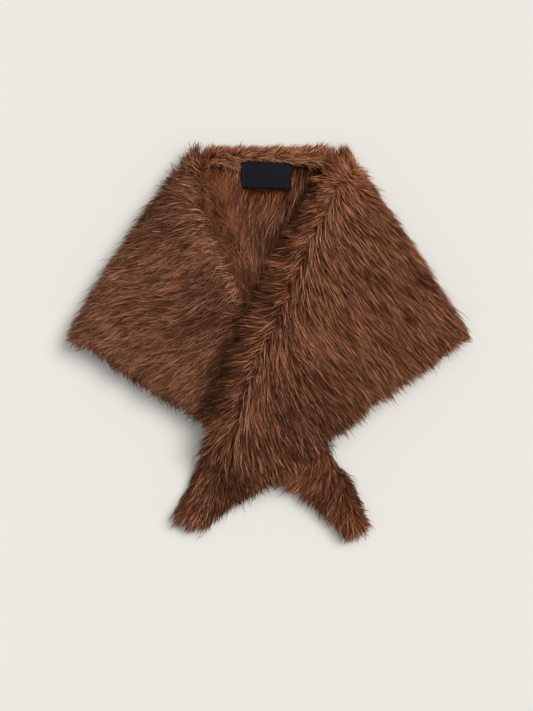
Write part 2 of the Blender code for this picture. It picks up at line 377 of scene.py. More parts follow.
class Comb:
    """The pile's heading, lift and length anywhere on a form, and how soft it is, 0 to 1."""

    def __init__(self, naps, reach):
        x, y, heading, lift, length, soft = np.array(naps).T
        turns = np.radians(heading)
        self.places = np.stack((x, y), 1) * MM
        self.facts = np.stack((np.cos(turns), np.sin(turns), np.radians(lift), length * MM, soft), 1)
        self.reach = reach

    def sides(self, roots, source):
        return np.zeros(len(roots), int)

    def parted(self, roots):
        """How close each root is to a parting, where the hair is seen to its root, 0 to 1. There the dark
        root colour is left out: painted light in the parting's groove.
        """
        return np.zeros(len(roots))

    def softness(self, roots, sides):
        """How even and plush the pile is: 0 to 1."""
        return self.facts_at(roots)[:, 4]

    def looseness(self, roots, sides):
        """How far the pile hangs apart in single locks: 0 to 1."""
        return np.zeros(len(roots))

    def facts_at(self, places):
        away = ((places[:, None, :2] - self.places) ** 2).sum(2)
        share = 1 / (away + (self.reach / 4) ** 2) ** 2
        return share @ self.facts / share.sum(1, keepdims=True)

    def __call__(self, places, sides):
        facts = self.facts_at(places)
        return np.arctan2(facts[:, 1], facts[:, 0]), facts[:, 2], facts[:, 3]


def spread_roots(form, weight, tuft_area, source):
    """Evenly scattered places on a form, with the way out of it, thinned by weight(place, way out)."""
    mesh = form.data
    mesh.calc_loop_triangles()
    points = np.zeros(len(mesh.vertices) * 3)
    mesh.vertices.foreach_get("co", points)
    points = points.reshape(-1, 3)
    corners = np.zeros(len(mesh.loop_triangles) * 3, int)
    mesh.loop_triangles.foreach_get("vertices", corners)
    corners = points[corners.reshape(-1, 3)]
    facing = np.cross(corners[:, 1] - corners[:, 0], corners[:, 2] - corners[:, 0])
    area = np.linalg.norm(facing, axis=1) / 2
    facing = unit(facing)
    share = area * weight(corners.mean(1), facing) / (tuft_area * MM * MM)
    total = np.cumsum(share)
    count = int(total[-1])
    picks = np.searchsorted(total, (np.arange(count) + source.random(count)) * total[-1] / count)
    picks = np.minimum(picks, len(total) - 1)
    a, b = source.random((2, count))
    folded = a + b > 1
    a[folded] = 1 - a[folded]
    b[folded] = 1 - b[folded]
    chosen = corners[picks]
    first, second, third = chosen.swapaxes(0, 1)
    return first + (second - first) * a[:, None] + (third - first) * b[:, None], facing[picks]


def surface_tree(form):
    mesh = form.data
    return BVHTree.FromPolygons(
        [vertex.co[:] for vertex in mesh.vertices], [polygon.vertices[:] for polygon in mesh.polygons]
    )


def way_out(tree, places):
    """For each place, the direction away from the nearest point of a form."""
    out = np.empty_like(places)
    for i, place in enumerate(places):
        near, normal, _, distance = tree.find_nearest(place)
        out[i] = (Vector(place) - near) / distance if distance > 0.6 * MM else normal
    return unit(out)


def laid_over(heading, upright):
    """A heading on the plan, carried over on to a surface that faces any way."""
    flat = np.stack((np.cos(heading), np.sin(heading), np.zeros(len(heading))), 1)
    lean = (flat * upright).sum(1, keepdims=True) / np.maximum(1 + upright[:, 2:], 0.25)
    along = flat - lean * (upright + (0, 0, 1))
    along -= (along * upright).sum(1, keepdims=True) * upright
    return unit(along)


def streaks(places, nap, sides, seed):
    """A fine unevenness drawn out along the nap, about normal: the pile lies in long narrow streaks."""
    grain = np.random.default_rng(seed).normal(0, 1, (STREAK_CELLS, STREAK_CELLS))

    def grain_at(at):
        cell = at / STREAK_WIDTH
        low = np.floor(cell).astype(int)
        share = cell - low
        x, y = (low % (STREAK_CELLS - 1)).T
        near = grain[x, y] * (1 - share[:, 0]) + grain[x + 1, y] * share[:, 0]
        far = grain[x, y + 1] * (1 - share[:, 0]) + grain[x + 1, y + 1] * share[:, 0]
        return near * (1 - share[:, 1]) + far * share[:, 1]

    total = grain_at(places[:, :2])
    for sign in (1, -1):
        here = places.copy()
        for _ in range(STREAK_STEPS):
            heading = nap(here, sides)[0]
            here[:, 0] += sign * STREAK_STEP * np.cos(heading)
            here[:, 1] += sign * STREAK_STEP * np.sin(heading)
            total += grain_at(here[:, :2])
    return (total - total.mean()) / total.std()


def kept_low(points):
    """Pile that would stand tall is crowded down: a change of the points' heights, in place."""
    over = np.maximum(points[..., 2] - CROWDED_HEIGHT, 0)
    points[..., 2] += CROWDED_ROOM * (1 - np.exp(-over / CROWDED_ROOM)) - over


def grow_tufts(form, roots, upright, nap, sides, streak, soft, pile, source):
    """The middle line of each tuft, bent over along the nap and round the form's edges."""
    tree = surface_tree(form)
    turn = source.normal(0, radians(pile.unrule), len(roots)) * (1 + SOFT_UNRULE * soft)
    rise = source.normal(1, RISE_SPREAD, len(roots)) + STREAK_LIFT * streak
    reach = source.normal(1, REACH_SPREAD, len(roots))
    clear = FLOOR_CLEARANCE * source.uniform(1, 5, len(roots))
    wander = Ripple(WANDER_SIZE, 11)
    ruffle = Ripple(RUFFLE_SIZE, 12)
    path = [roots]
    here = roots
    bearing = None
    for fade in HAIR_FADE:
        heading, lift, length = nap(here, sides)
        heading = heading + turn + WANDER * wander(here) + RUFFLE * ruffle(here)
        along = laid_over(heading, upright)
        angle = (lift * fade * rise)[:, None]
        aim = along * np.cos(angle) + upright * np.sin(angle)
        bearing = aim if bearing is None else unit(aim * (1 - HAIR_STIFFNESS) + bearing * HAIR_STIFFNESS)
        here = here + bearing * (length * reach / len(HAIR_FADE))[:, None]
        here[:, 2] = np.maximum(here[:, 2], clear)
        upright = way_out(tree, here)
        path.append(here)
    return np.stack(path, 1)


def gather_locks(tufts, loose, soft, pile, source):
    """Leans neighbouring tufts together, so that the pile lies in locks with gaps between them."""
    count = max(len(tufts) // pile.lock_tufts, 1)
    leaders = tufts[source.choice(len(tufts), count, replace=False)]
    lock = np.empty(len(tufts), int)
    for start in range(0, len(tufts), LOCK_BATCH):
        batch = tufts[start:start + LOCK_BATCH]
        away = ((batch[:, None, 0] - leaders[None, :, 0]) ** 2).sum(2)
        away += 0.5 * ((batch[:, None, -1] - leaders[None, :, -1]) ** 2).sum(2)
        lock[start:start + LOCK_BATCH] = away.argmin(1)
    leader = leaders[lock]
    share = np.linspace(0, 1, tufts.shape[1])[None, :, None] ** 1.5 * pile.lock_gather
    apart = np.linalg.norm(leader[:, -1] - tufts[:, -1], axis=1)
    pull = (1 + LOOSE_PULL * loose) * (1 - SOFT_APART * soft) * np.exp(-((apart / LOCK_REACH) ** 2))
    share = share * pull[:, None, None]
    return tufts * (1 - share) + leader * share, lock


def split_hairs(tufts, upright, soft, pile, source):
    """Single hairs round each tuft's middle line: tufts, hairs, points along, xyz."""
    count = len(tufts)
    steps = tufts.shape[1]
    along = np.linspace(0, 1, steps)
    forward = unit(tufts[:, 1] - tufts[:, 0])
    across = unit(np.cross(forward, upright))
    forward = np.cross(upright, across)
    angle = source.uniform(0, tau, (count, pile.hairs))
    radius = pile.tuft_radius * MM * np.sqrt(source.random((count, pile.hairs)))
    offset = across[:, None] * (np.cos(angle) * radius)[..., None]
    offset = offset + forward[:, None] * (np.sin(angle) * radius)[..., None]
    gather = np.where(source.random((count, pile.hairs)) < pile.stray, STRAY_SPREAD, pile.gather)
    gather = gather * (1 - 0.6 * soft)[:, None]
    spread = 1 - gather[..., None] * along ** 0.8
    reach = source.uniform(*HAIR_REACH, (count, pile.hairs))
    reach = np.where(source.random((count, pile.hairs)) < WISP_SHARE, reach * WISP_LENGTH, reach)
    line = (tufts - tufts[:, :1])[:, None] * reach[..., None, None]
    hairs = tufts[:, None, :1] + line + offset[:, :, None] * spread[..., None]
    curl = source.normal(0, HAIR_CURL, (count, pile.hairs)) + source.normal(0, TUFT_CURL, (count, 1))
    phase = source.uniform(0, tau, (count, 1)) + source.normal(0, 0.7, (count, pile.hairs))
    swing = np.sin(phase[..., None] + along * CURL_RATE) - np.sin(phase)[..., None]
    swing = swing * (curl * pile.curl * MM)[..., None] * along
    hairs = hairs + across[:, None, None] * swing[..., None]
    loft = source.normal(0, HAIR_LOFT, (count, pile.hairs))[..., None] * along
    hairs = hairs + upright[:, None, None] * loft[..., None]
    clear = FLOOR_CLEARANCE * source.uniform(0.6, 5, (count, pile.hairs, 1))
    hairs[..., 2] = np.maximum(hairs[..., 2], clear)
    kept_low(hairs)
    return hairs


def ribbon_mesh(name, hairs, upright, width, tone, base, top, source):
    """One mesh of tapered ribbons. Its map holds each hair's tone across and base to tip upwards.

    A ribbon's root faces between its own way out and the sky, and is then rolled a little at random.
    """
    count, steps = hairs.shape[:2]
    run = unit(np.diff(hairs, axis=1))
    side = np.empty_like(run)
    side[:, 0] = unit(np.cross(run[:, 0], unit(upright + (0, 0, SKYWARD))))
    for step in range(1, steps - 1):
        carried = side[:, step - 1]
        side[:, step] = unit(carried - (carried * run[:, step]).sum(1, keepdims=True) * run[:, step])
    rise = np.cross(side, run)
    roll = source.uniform(-RIBBON_ROLL, RIBBON_ROLL, (count, 1, 1))
    side = side * np.cos(roll) + rise * np.sin(roll)
    width = width[:, None, None] * np.array(HAIR_TAPER)[None, :, None] / 2
    left = hairs[:, :-1] - side * width
    right = hairs[:, :-1] + side * width
    points = np.concatenate((np.stack((left, right), 2).reshape(count, -1, 3), hairs[:, -1:]), 1)
    per_hair = 2 * steps - 1
    corners = []
    for step in range(steps - 2):
        low = 2 * step
        corners += [low, low + 1, low + 3, low + 2]
    corners += [per_hair - 3, per_hair - 2, per_hair - 1]
    sizes = [4] * (steps - 2) + [3]
    corners = np.array(corners)
    loops = (np.arange(count)[:, None] * per_hair + corners).ravel()
    totals = np.tile(sizes, count)
    mesh = bpy.data.meshes.new(name)
    mesh.vertices.add(points.shape[0] * points.shape[1])
    mesh.vertices.foreach_set("co", points.ravel())
    mesh.loops.add(len(loops))
    mesh.loops.foreach_set("vertex_index", loops)
    mesh.polygons.add(len(totals))
    mesh.polygons.foreach_set("loop_start", np.concatenate(([0], np.cumsum(totals)[:-1])))
    mesh.polygons.foreach_set("loop_total", totals)
    mesh.update(calc_edges=True)
    height = np.concatenate((np.repeat(np.arange(steps - 1), 2), [steps - 1])) / (steps - 1)
    lean = np.concatenate((np.tile([-0.5, 0.5], steps - 1), [0]))
    over = np.clip(tone[:, None], MAP_MARGIN, 1 - MAP_MARGIN) + lean * MAP_RIBBON
    up = MAP_MARGIN + (1 - 2 * MAP_MARGIN) * (base[:, None] + (top - base)[:, None] * height)
    places = np.stack((over, up), 2).reshape(-1, 2)
    layer = mesh.uv_layers.new(name=PILE_MAP)
    layer.data.foreach_set("uv", places[loops].ravel())
    mesh.shade_smooth()
    piece = bpy.data.objects.new(name, mesh)
    bpy.context.scene.collection.objects.link(piece)
    return piece


def painted_light_and_shade(places, painted_spots):
    """Tone gained or lost at each place, from soft spots: painted light and painted shade."""
    tone = np.zeros(len(places))
    for row in painted_spots:
        away = ((places[:, :2] - np.array((row.x, row.y)) * MM) ** 2).sum(1)
        tone += row.tone * np.exp(-away / (row.reach * MM) ** 2)
    return tone


def grow_fur(name, form, weight, nap, pile, seed, painted_spots=(), parts=None, clears=None):
    """Fur on a form, as one piece or as several told apart by parts(place), numbered from 0.

    A hair for which clears(its points) is false is left out.
    """
    source = np.random.default_rng(seed)
    roots, upright = spread_roots(form, weight, pile.tuft_area, source)
    sides = nap.sides(roots, source)
    streak = streaks(roots, nap, sides, seed + 7)
    soft = nap.softness(roots, sides)
    loose = nap.looseness(roots, sides)
    tufts = grow_tufts(form, roots, upright, nap, sides, streak, soft, pile, source)
    tufts, lock = gather_locks(tufts, loose, soft, pile, source)
    hairs = split_hairs(tufts, upright, soft, pile, source)
    width = HAIR_WIDTH * source.uniform(*WIDTH_SPREAD, hairs.shape[:2]) * (1 - SOFT_NARROWING * soft)[:, None]
    patch = Ripple(PATCH_SIZE, seed + 5)
    lock_tone = source.normal(0, TONE_BY_LOCK, lock.max() + 1)[lock] * (1 + LOOSE_TONE * loose)
    tuft_tone = source.normal(0, TONE_BY_TUFT, len(roots)) + TONE_BY_STREAK * streak
    uneven = (1 - SOFT_EVENNESS * soft)[:, None]
    # Painted light and shade from the spots is added to the hairs' tone here.
    tone = 0.5 + PATCH_TONE * patch(roots) + painted_light_and_shade(roots, painted_spots)
    tone = tone[:, None] + (lock_tone + tuft_tone)[:, None] * uneven
    tone = tone + source.normal(0, pile.tone, hairs.shape[:2]) * uneven
    # Near a parting the hair's colour starts above its dark root: painted light in the parting's groove.
    base = np.broadcast_to(PARTING_PAINTED_LIGHT * nap.parted(roots)[:, None], hairs.shape[:2])
    top = np.broadcast_to((1 - SOFT_TOP * soft)[:, None], hairs.shape[:2])
    within = (abs(hairs[..., :2]) < FARTHEST).all((2, 3))
    ways = np.broadcast_to(upright[:, None], hairs.shape[:2] + (3,))
    names = [name] if parts is None else [f"{name}_{part}" for part in parts[0]]
    where = np.zeros(len(roots), int) if parts is None else parts[1](roots)
    pieces = []
    for number, piece_name in enumerate(names):
        chosen = within & (where == number)[:, None]
        if clears is not None:
            chosen = chosen & clears(hairs.reshape(-1, 3)).reshape(hairs.shape[:3]).all(2)
        facts = (fact[chosen] for fact in (hairs, ways, width, tone, base, top))
        pieces.append(ribbon_mesh(piece_name, *facts, source))
    return pieces


def add_node(nodes, kind, **settings):
    node = nodes.new(kind)
    for setting, value in settings.items():
        setattr(node, setting, value)
    return node


def worked_out(tree, operation, *values):
    """The result of a sum, each of whose two values is a number or another node's output."""
    node = add_node(tree.nodes, "ShaderNodeMath", operation=operation)
    for socket, value in zip(node.inputs, values):
        if isinstance(value, float):
            socket.default_value = value
        else:
            tree.links.new(value, socket)
    return node.outputs["Value"]


def pile_colour_group():
    """A hair's colour from its map: root to tip upwards, and across, dark and warm to light and greyish."""
    group = bpy.data.node_groups.new("hair_colour", "ShaderNodeTree")
    for name, kind in (("Root", "Color"), ("Middle", "Color"), ("Tip", "Color"), ("Contrast", "Float")):
        group.interface.new_socket(name, in_out="INPUT", socket_type="NodeSocket" + kind)
    group.interface.new_socket("Colour", in_out="OUTPUT", socket_type="NodeSocketColor")
    nodes = group.nodes
    link = group.links.new
    entry = nodes.new("NodeGroupInput")
    leave = nodes.new("NodeGroupOutput")
    place = add_node(nodes, "ShaderNodeUVMap", uv_map=PILE_MAP)
    split = nodes.new("ShaderNodeSeparateXYZ")
    link(place.outputs["UV"], split.inputs["Vector"])
    colour = entry.outputs["Root"]
    for above, low, high in (("Middle", 0.0, 0.5), ("Tip", 0.45, 1.0)):
        height = add_node(nodes, "ShaderNodeMapRange", interpolation_type="SMOOTHSTEP")
        set_inputs(height, {"From Min": low, "From Max": high})
        link(split.outputs["Y"], height.inputs["Value"])
        blend = add_node(nodes, "ShaderNodeMix", data_type="RGBA")
        link(height.outputs["Result"], blend.inputs["Factor"])
        link(colour, blend.inputs["A"])
        link(entry.outputs[above], blend.inputs["B"])
        colour = blend.outputs["Result"]
    from_middle = worked_out(group, "SUBTRACT", split.outputs["X"], 0.5)
    strength = worked_out(group, "MULTIPLY", from_middle, entry.outputs["Contrast"])
    tint = nodes.new("ShaderNodeCombineXYZ")
    for channel, gain in zip("XYZ", TONE_GAINS):
        steeper = worked_out(group, "MULTIPLY", strength, gain)
        link(worked_out(group, "POWER", 2.0, steeper), tint.inputs[channel])
    toned = add_node(nodes, "ShaderNodeVectorMath", operation="MULTIPLY")
    link(colour, toned.inputs[0])
    link(tint.outputs["Vector"], toned.inputs[1])
    link(toned.outputs["Vector"], leave.inputs["Colour"])
    return group


hair_colour = pile_colour_group()
FUR_CONTRAST = 3.6
FUR_SHEEN = 0.03
SHEEN_TINT = (1.0, 0.72, 0.52, 1)


def fur_material(name, root, middle, tip):
    material = bpy.data.materials.new(name)
    material.use_nodes = True
    shader = material.node_tree.nodes["Principled BSDF"]
    colour = material.node_tree.nodes.new("ShaderNodeGroup")
    colour.node_tree = hair_colour
    set_inputs(colour, {"Root": (*root, 1), "Middle": (*middle, 1), "Tip": (*tip, 1)})
    set_inputs(colour, {"Contrast": FUR_CONTRAST})
    material.node_tree.links.new(colour.outputs["Colour"], shader.inputs["Base Color"])
    set_inputs(shader, {"Roughness": 0.5, "Specular IOR Level": 0.07})
    set_inputs(shader, {"Sheen Weight": FUR_SHEEN, "Sheen Roughness": 0.45, "Sheen Tint": SHEEN_TINT})
    return material


def backing_material(name, colour, dark):
    """Dense underfur against the backing: short, matt and darker than the hair over it, its darkness partly
    painted shade in the gaps between locks.
    """
    material = bpy.data.materials.new(name)
    material.use_nodes = True
    nodes = material.node_tree.nodes
    link = material.node_tree.links.new
    shader = nodes["Principled BSDF"]
    place = nodes.new("ShaderNodeTexCoord")
    fuzz = nodes.new("ShaderNodeTexNoise")
    set_inputs(fuzz, {"Scale": 900, "Detail": 4})
    link(place.outputs["Object"], fuzz.inputs["Vector"])
    mix = add_node(nodes, "ShaderNodeMix", data_type="RGBA")
    set_inputs(mix, {"A": (*dark, 1), "B": (*colour, 1)})
    link(fuzz.outputs["Fac"], mix.inputs["Factor"])
    link(mix.outputs["Result"], shader.inputs["Base Color"])
    bump = nodes.new("ShaderNodeBump")
    set_inputs(bump, {"Distance": 0.6 * MM, "Strength": 0.8})
    link(fuzz.outputs["Fac"], bump.inputs["Height"])
    link(bump.outputs["Normal"], shader.inputs["Normal"])
    set_inputs(shader, {"Roughness": 0.95, "Specular IOR Level": 0.15})
    return material


ROOT_COLOUR = (0.034, 0.0080, 0.0020)
MIDDLE_COLOUR = (0.120, 0.0325, 0.0102)
TIP_COLOUR = (0.250, 0.102, 0.053)
# A paler, greyer copy of the outer fur: painted sheen, used on the left front's body and edge and on the neck
# roll. The inner fur shares its middle colour.
PAINTED_SHEEN_AND_INNER_MIDDLE_COLOUR = (0.121, 0.0350, 0.0118)
PAINTED_SHEEN_TIP_COLOUR = (0.254, 0.113, 0.064)
outer_fur = fur_material("outer_fur", ROOT_COLOUR, MIDDLE_COLOUR, TIP_COLOUR)
painted_sheen_outer_fur = fur_material("painted_sheen_outer_fur", ROOT_COLOUR, PAINTED_SHEEN_AND_INNER_MIDDLE_COLOUR, PAINTED_SHEEN_TIP_COLOUR)
outer_backing = backing_material("outer_backing", (0.075, 0.028, 0.013), (0.030, 0.011, 0.006))


def settle(piece, material, node):
    """Finish, CAD body, material slot and the CAD node that a piece stands for."""
    piece.data.materials.append(material)
    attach(piece, "root")
    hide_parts(node)


ROLL_HALF_LENGTH = 92 * MM
ROLL_NAP_REACH = 16 * MM
NAP_REACH = 26 * MM
ROLL_SHARE = 1.6
UNDERSIDE_SHARE = 0.17
ROLL_NAPS = table(
    Nap,
    (-82, 228, 94, 46, 20, 0.4),
    (-68, 230, 88, 48, 16, 0.2),
    (-54, 231, 24, 52, 14),
    (-37, 232, 66, 42, 18),
    (-14, 231, 16, 50, 14),
    (6, 232, 60, 42, 17),
    (28, 231, 14, 50, 14),
    (48, 232, 64, 42, 18),
    (68, 230, 84, 48, 17, 0.2),
    (82, 229, 92, 44, 23, 0.3),
    (-72, 220, -10, 42, 16),
    (-44, 221, -18, 44, 18),
    (-14, 221, -8, 44, 18),
    (18, 221, -18, 44, 18),
    (48, 221, -6, 44, 18),
    (72, 220, 20, 42, 16),
    (-50, 212, -34, 34, 14),
    (0, 212, -24, 34, 14),
    (50, 212, -30, 34, 14),
    (0, 100, -90, 8, 26),
    (-120, 60, 200, 8, 26),
    (120, 60, -40, 8, 26),
    (0, -60, -90, 8, 26),
)
roll_nap = Comb(ROLL_NAPS, ROLL_NAP_REACH)


def shell_furred(place, facing):
    """Thick on the roll where it shows at the neck, thin and flat against the surface below."""
    roll = (place[:, 1] > ROLL_AXIS[0] - ROLL_RETURN - 1 * MM) & (facing[:, 1] > -0.5)
    roll &= (abs(place[:, 0]) < ROLL_HALF_LENGTH) & ((place[:, 2] > BACK_TOP / 2) | (facing[:, 1] > 0.3))
    roll &= (facing[:, 2] > 0.2) | (facing[:, 1] > 0.3)
    below = (facing[:, 2] < -0.5) & (place[:, 2] < SHELL_MIDDLE)
    return np.where(roll, ROLL_SHARE, np.where(below, UNDERSIDE_SHARE, 0.0))


LABEL_SIZE = (61 * MM, 30.6 * MM)
LABEL_CENTRE = np.array((-1.4 * MM, 201.6 * MM))
LABEL_TURN = radians(-2)
LABEL_HAIR_MARGIN = 0.97
LABEL_ROOT_MARGIN = 0.93


def label_share(places):
    """How far each place lies towards the label's edge: under 1 inside it."""
    rel = places[:, :2] - LABEL_CENTRE
    x = rel[:, 0] * cos(LABEL_TURN) + rel[:, 1] * sin(LABEL_TURN)
    y = rel[:, 1] * cos(LABEL_TURN) - rel[:, 0] * sin(LABEL_TURN)
    return np.maximum(abs(x) / (LABEL_SIZE[0] / 2), abs(y) / (LABEL_SIZE[1] / 2))


def clear_of_label(places):
    return (label_share(places) > LABEL_HAIR_MARGIN) | (places[:, 2] < BACK_TOP / 2)


# Painted light: the neck roll faces the light, and its fur is made lighter.
ROLL_PAINTED_LIGHT = table(PaintedLight, (-40, 225, 60, 0.26), (40, 225, 60, 0.26))

back_fur = grow_fur(
    "back_shell_fur",
    back_shell,
    shell_furred,
    roll_nap,
    OUTER_PILE._replace(unrule=16, lock_gather=0.3, stray=0.25, tone=0.42),
    21,
    ROLL_PAINTED_LIGHT,
    clears=clear_of_label,
)
settle(back_shell, outer_backing, "back_shell")
# The roll's fur takes the copy of the outer fur with painted sheen.
for piece in back_fur:
    settle(piece, painted_sheen_outer_fur, "back_shell")

# Back, inner fur: the facing that shows in the V of the neck, its pile upwards and combed down the back.
# It is butted to the roll's edge, and the fronts hide the rest of it.
FACING_MIDDLE = 11.2 * MM
FACING_TOP_GAP = 1.5 * MM
FACING_HIDDEN = 16 * MM
FACING_END_Y = -60 * MM
FACING_SHARE = 1.1
facing_top = across_back(ROLL_AXIS[0] - ROLL_RETURN - FACING_TOP_GAP)
facing_rows = []
for down in np.linspace(0, 1, BACK_STEPS_DOWN + 1):
    facing_rows.append(at_height(facing_top * (1 - down) + back_hem() * down, FACING_MIDDLE))
back_facing = cloth("back_facing_cloth", facing_rows[::-1], BACKING_THICKNESS)


def line_distance(places, line):
    """Distance in plan from each place to an open line."""
    start = line[None, :-1]
    side = line[None, 1:] - start
    plan = places[:, None, :2]
    share = ((plan - start) * side).sum(2) / np.maximum((side**2).sum(2), 1e-12)
    nearest = start + side * np.clip(share, 0, 1)[..., None]
    return np.linalg.norm(plan - nearest, axis=2).min(1)


def edge_distance(places, outline):
    """Distance in plan from each place to a closed outline, positive inside it."""
    closed = np.concatenate((outline, outline[:1]))
    distance = line_distance(places, closed)
    start = closed[None, :-1]
    end = closed[None, 1:]
    side = end - start
    plan = places[:, None, :2]
    straddles = (start[..., 1] > plan[..., 1]) != (end[..., 1] > plan[..., 1])
    slope = np.where(abs(side[..., 1]) < 1e-9, 1e-9, side[..., 1])
    crossing = start[..., 0] + side[..., 0] * (plan[..., 1] - start[..., 1]) / slope
    inside = (straddles & (plan[..., 0] < crossing)).sum(1) % 2 == 1
    return np.where(inside, distance, -distance)


def front_outline(sections):
    hem, neck = front_edges(sections)
    return np.concatenate((hem, neck[::-1]))


left_outline = front_outline(LEFT_SECTIONS)
right_outline = front_outline(RIGHT_SECTIONS)


def facing_furred(place, facing):
    hidden = np.maximum(edge_distance(place, left_outline), edge_distance(place, right_outline))
    shown = (facing[:, 2] > 0.5) & (hidden < FACING_HIDDEN) & (place[:, 1] > FACING_END_Y)
    return np.where(shown & (label_share(place) > LABEL_ROOT_MARGIN), FACING_SHARE, 0.0)


FACING_NAPS = table(
    Nap,
    (-76, 214, -60, 64, 13, 1),
    (-62, 204, -70, 56, 15, 0.9),
    (-70, 180, -50, 66, 13, 1),
    (-52, 182, -70, 56, 15, 1),
    (-56, 152, -52, 66, 13, 1),
    (-40, 150, -80, 50, 16, 0.9),
    (-46, 200, -96, 44, 17, 0.8),
    (-42, 122, -56, 64, 13, 1),
    (-28, 92, -66, 58, 15, 1),
    (-40, 210, -110, 34, 20, 0.2),
    (-34, 172, -114, 30, 28, 0.1),
    (-12, 168, -110, 30, 30),
    (14, 166, -108, 30, 30),
    (36, 200, -98, 32, 24),
    (52, 190, -106, 36, 24),
    (-24, 134, -104, 30, 28),
    (-4, 130, -98, 30, 30),
    (18, 130, -108, 32, 28),
    (-10, 95, -92, 30, 26, 0.3),
    (6, 80, -96, 32, 26),
    (-12, 62, -84, 34, 22, 0.4),
    (-8, 40, -90, 30, 24),
    (-4, 0, -90, 30, 24),
)
facing_nap = Comb(FACING_NAPS, NAP_REACH)
INNER_TIP_COLOUR = (0.254, 0.110, 0.061)
inner_fur = fur_material("inner_fur", ROOT_COLOUR, PAINTED_SHEEN_AND_INNER_MIDDLE_COLOUR, INNER_TIP_COLOUR)
inner_backing = backing_material("inner_backing", (0.080, 0.030, 0.014), (0.032, 0.012, 0.006))

# Painted shade darkens the V's right side, where the right front's edge casts its shadow, and the V's foot.
# Painted light brightens the V's left band.
FACING_PAINTED_LIGHT_AND_SHADE = table(
    PaintedLight,
    (-60, 192, 22, 0.40),
    (-46, 150, 18, 0.44),
    (-32, 112, 17, 0.40),
    (-20, 84, 14, 0.20),
    (-6, 78, 14, -0.14),
    (60, 203, 16, -0.81),
    (48, 176, 15, -0.86),
    (38, 154, 13, -0.70),
    (30, 138, 14, -0.81),
    (19, 118, 13, -0.81),
    (9, 92, 14, -0.81),
    (-3, 64, 14, -0.58),
    (-14, 40, 18, -0.45),
    (4, 140, 30, -0.10),
    (-8, 80, 18, -0.12),
)
facing_fur = grow_fur(
    "back_facing_fur",
    back_facing,
    facing_furred,
    facing_nap,
    OUTER_PILE,
    31,
    FACING_PAINTED_LIGHT_AND_SHADE,
    clears=clear_of_label,
)
settle(back_facing, inner_backing, "back_facing")
for piece in facing_fur:
    settle(piece, inner_fur, "back_facing")

# Left front: outer and inner fur laid together, turned over the left shoulder fold on to the back. It
# sags to the surface past the back's edge, and its far end shows as the tail at the lower right.
FRONT_BACKING = 4.4 * MM
FRONT_THICKNESS = 17.5 * MM
BACK_LAYER = 18.9 * MM
FRONT_LAYER = 18.3 * MM
FOLD_OUTER_RADIUS = 18.2 * MM
FOLD_RETURN = 3 * MM
FOLD_STEPS = 9
FOLD_MOUTH = 20 * MM
MOUTH_SHARE = 0.6
RETURN_REACH = 8 * MM
NECK_RIM = 16 * MM
NECK_UNDERSIDE_SHARE = 0.15
UNDERSIDE_RIM = 24 * MM
HEM_UNDERSIDE_SHARE = 0.35
LYING_SHARE = 0.16
EDGE_RIM = 14 * MM
SIDE_SHARE = 0.8
TAIL_TOP_Y = -100 * MM
DRAPE_REACH = 60 * MM
PARTING_LIFT = radians(30)
MINGLED = 4 * MM
WHORL_Y = 204 * MM
WHORL_REACH = 24 * MM
PARTING_WIDTH = 9 * MM
PARTED_WIDTH = 14 * MM
LOOSE_WIDTH = 15 * MM
WAVER_SIZE = 45 * MM
WAVER_DEPTH = 2.5 * MM
TIP_INSET_SHARE = 0.35
TIP_WIDTHS = (20 * MM, 70 * MM)
HEM_INSET = 11 * MM
NECK_INSET = 8 * MM
FRONT_STEPS_ACROSS = 22
back_outline = np.concatenate(
    ([left_outline[-1], left_outline[0]], back_hem(), [right_outline[0], right_outline[-1]])
)
Trough = namedtuple("Trough", "x y heading length width depth")
Tuck = namedtuple("Tuck", "x y reach depth")


def cover(places, outline):
    """1 on a layer, sinking to 0 over the drape's reach beyond its edge."""
    return 1 - smoothstep(-edge_distance(places, outline) / DRAPE_REACH)


def sunk(places, troughs):
    """How deep the troughs pressed into the pile and the cloth lie at each place."""
    depth = np.zeros(len(places))
    for row in troughs:
        turn = radians(row.heading)
        rel = places[:, :2] - np.array((row.x, row.y)) * MM
        along = rel[:, 0] * cos(turn) + rel[:, 1] * sin(turn)
        across = rel[:, 1] * cos(turn) - rel[:, 0] * sin(turn)
        fade = np.exp(-(along / (row.length * MM / 2)) ** 4 - (across / (row.width * MM / 2)) ** 2)
        depth += row.depth * MM * fade
    return depth


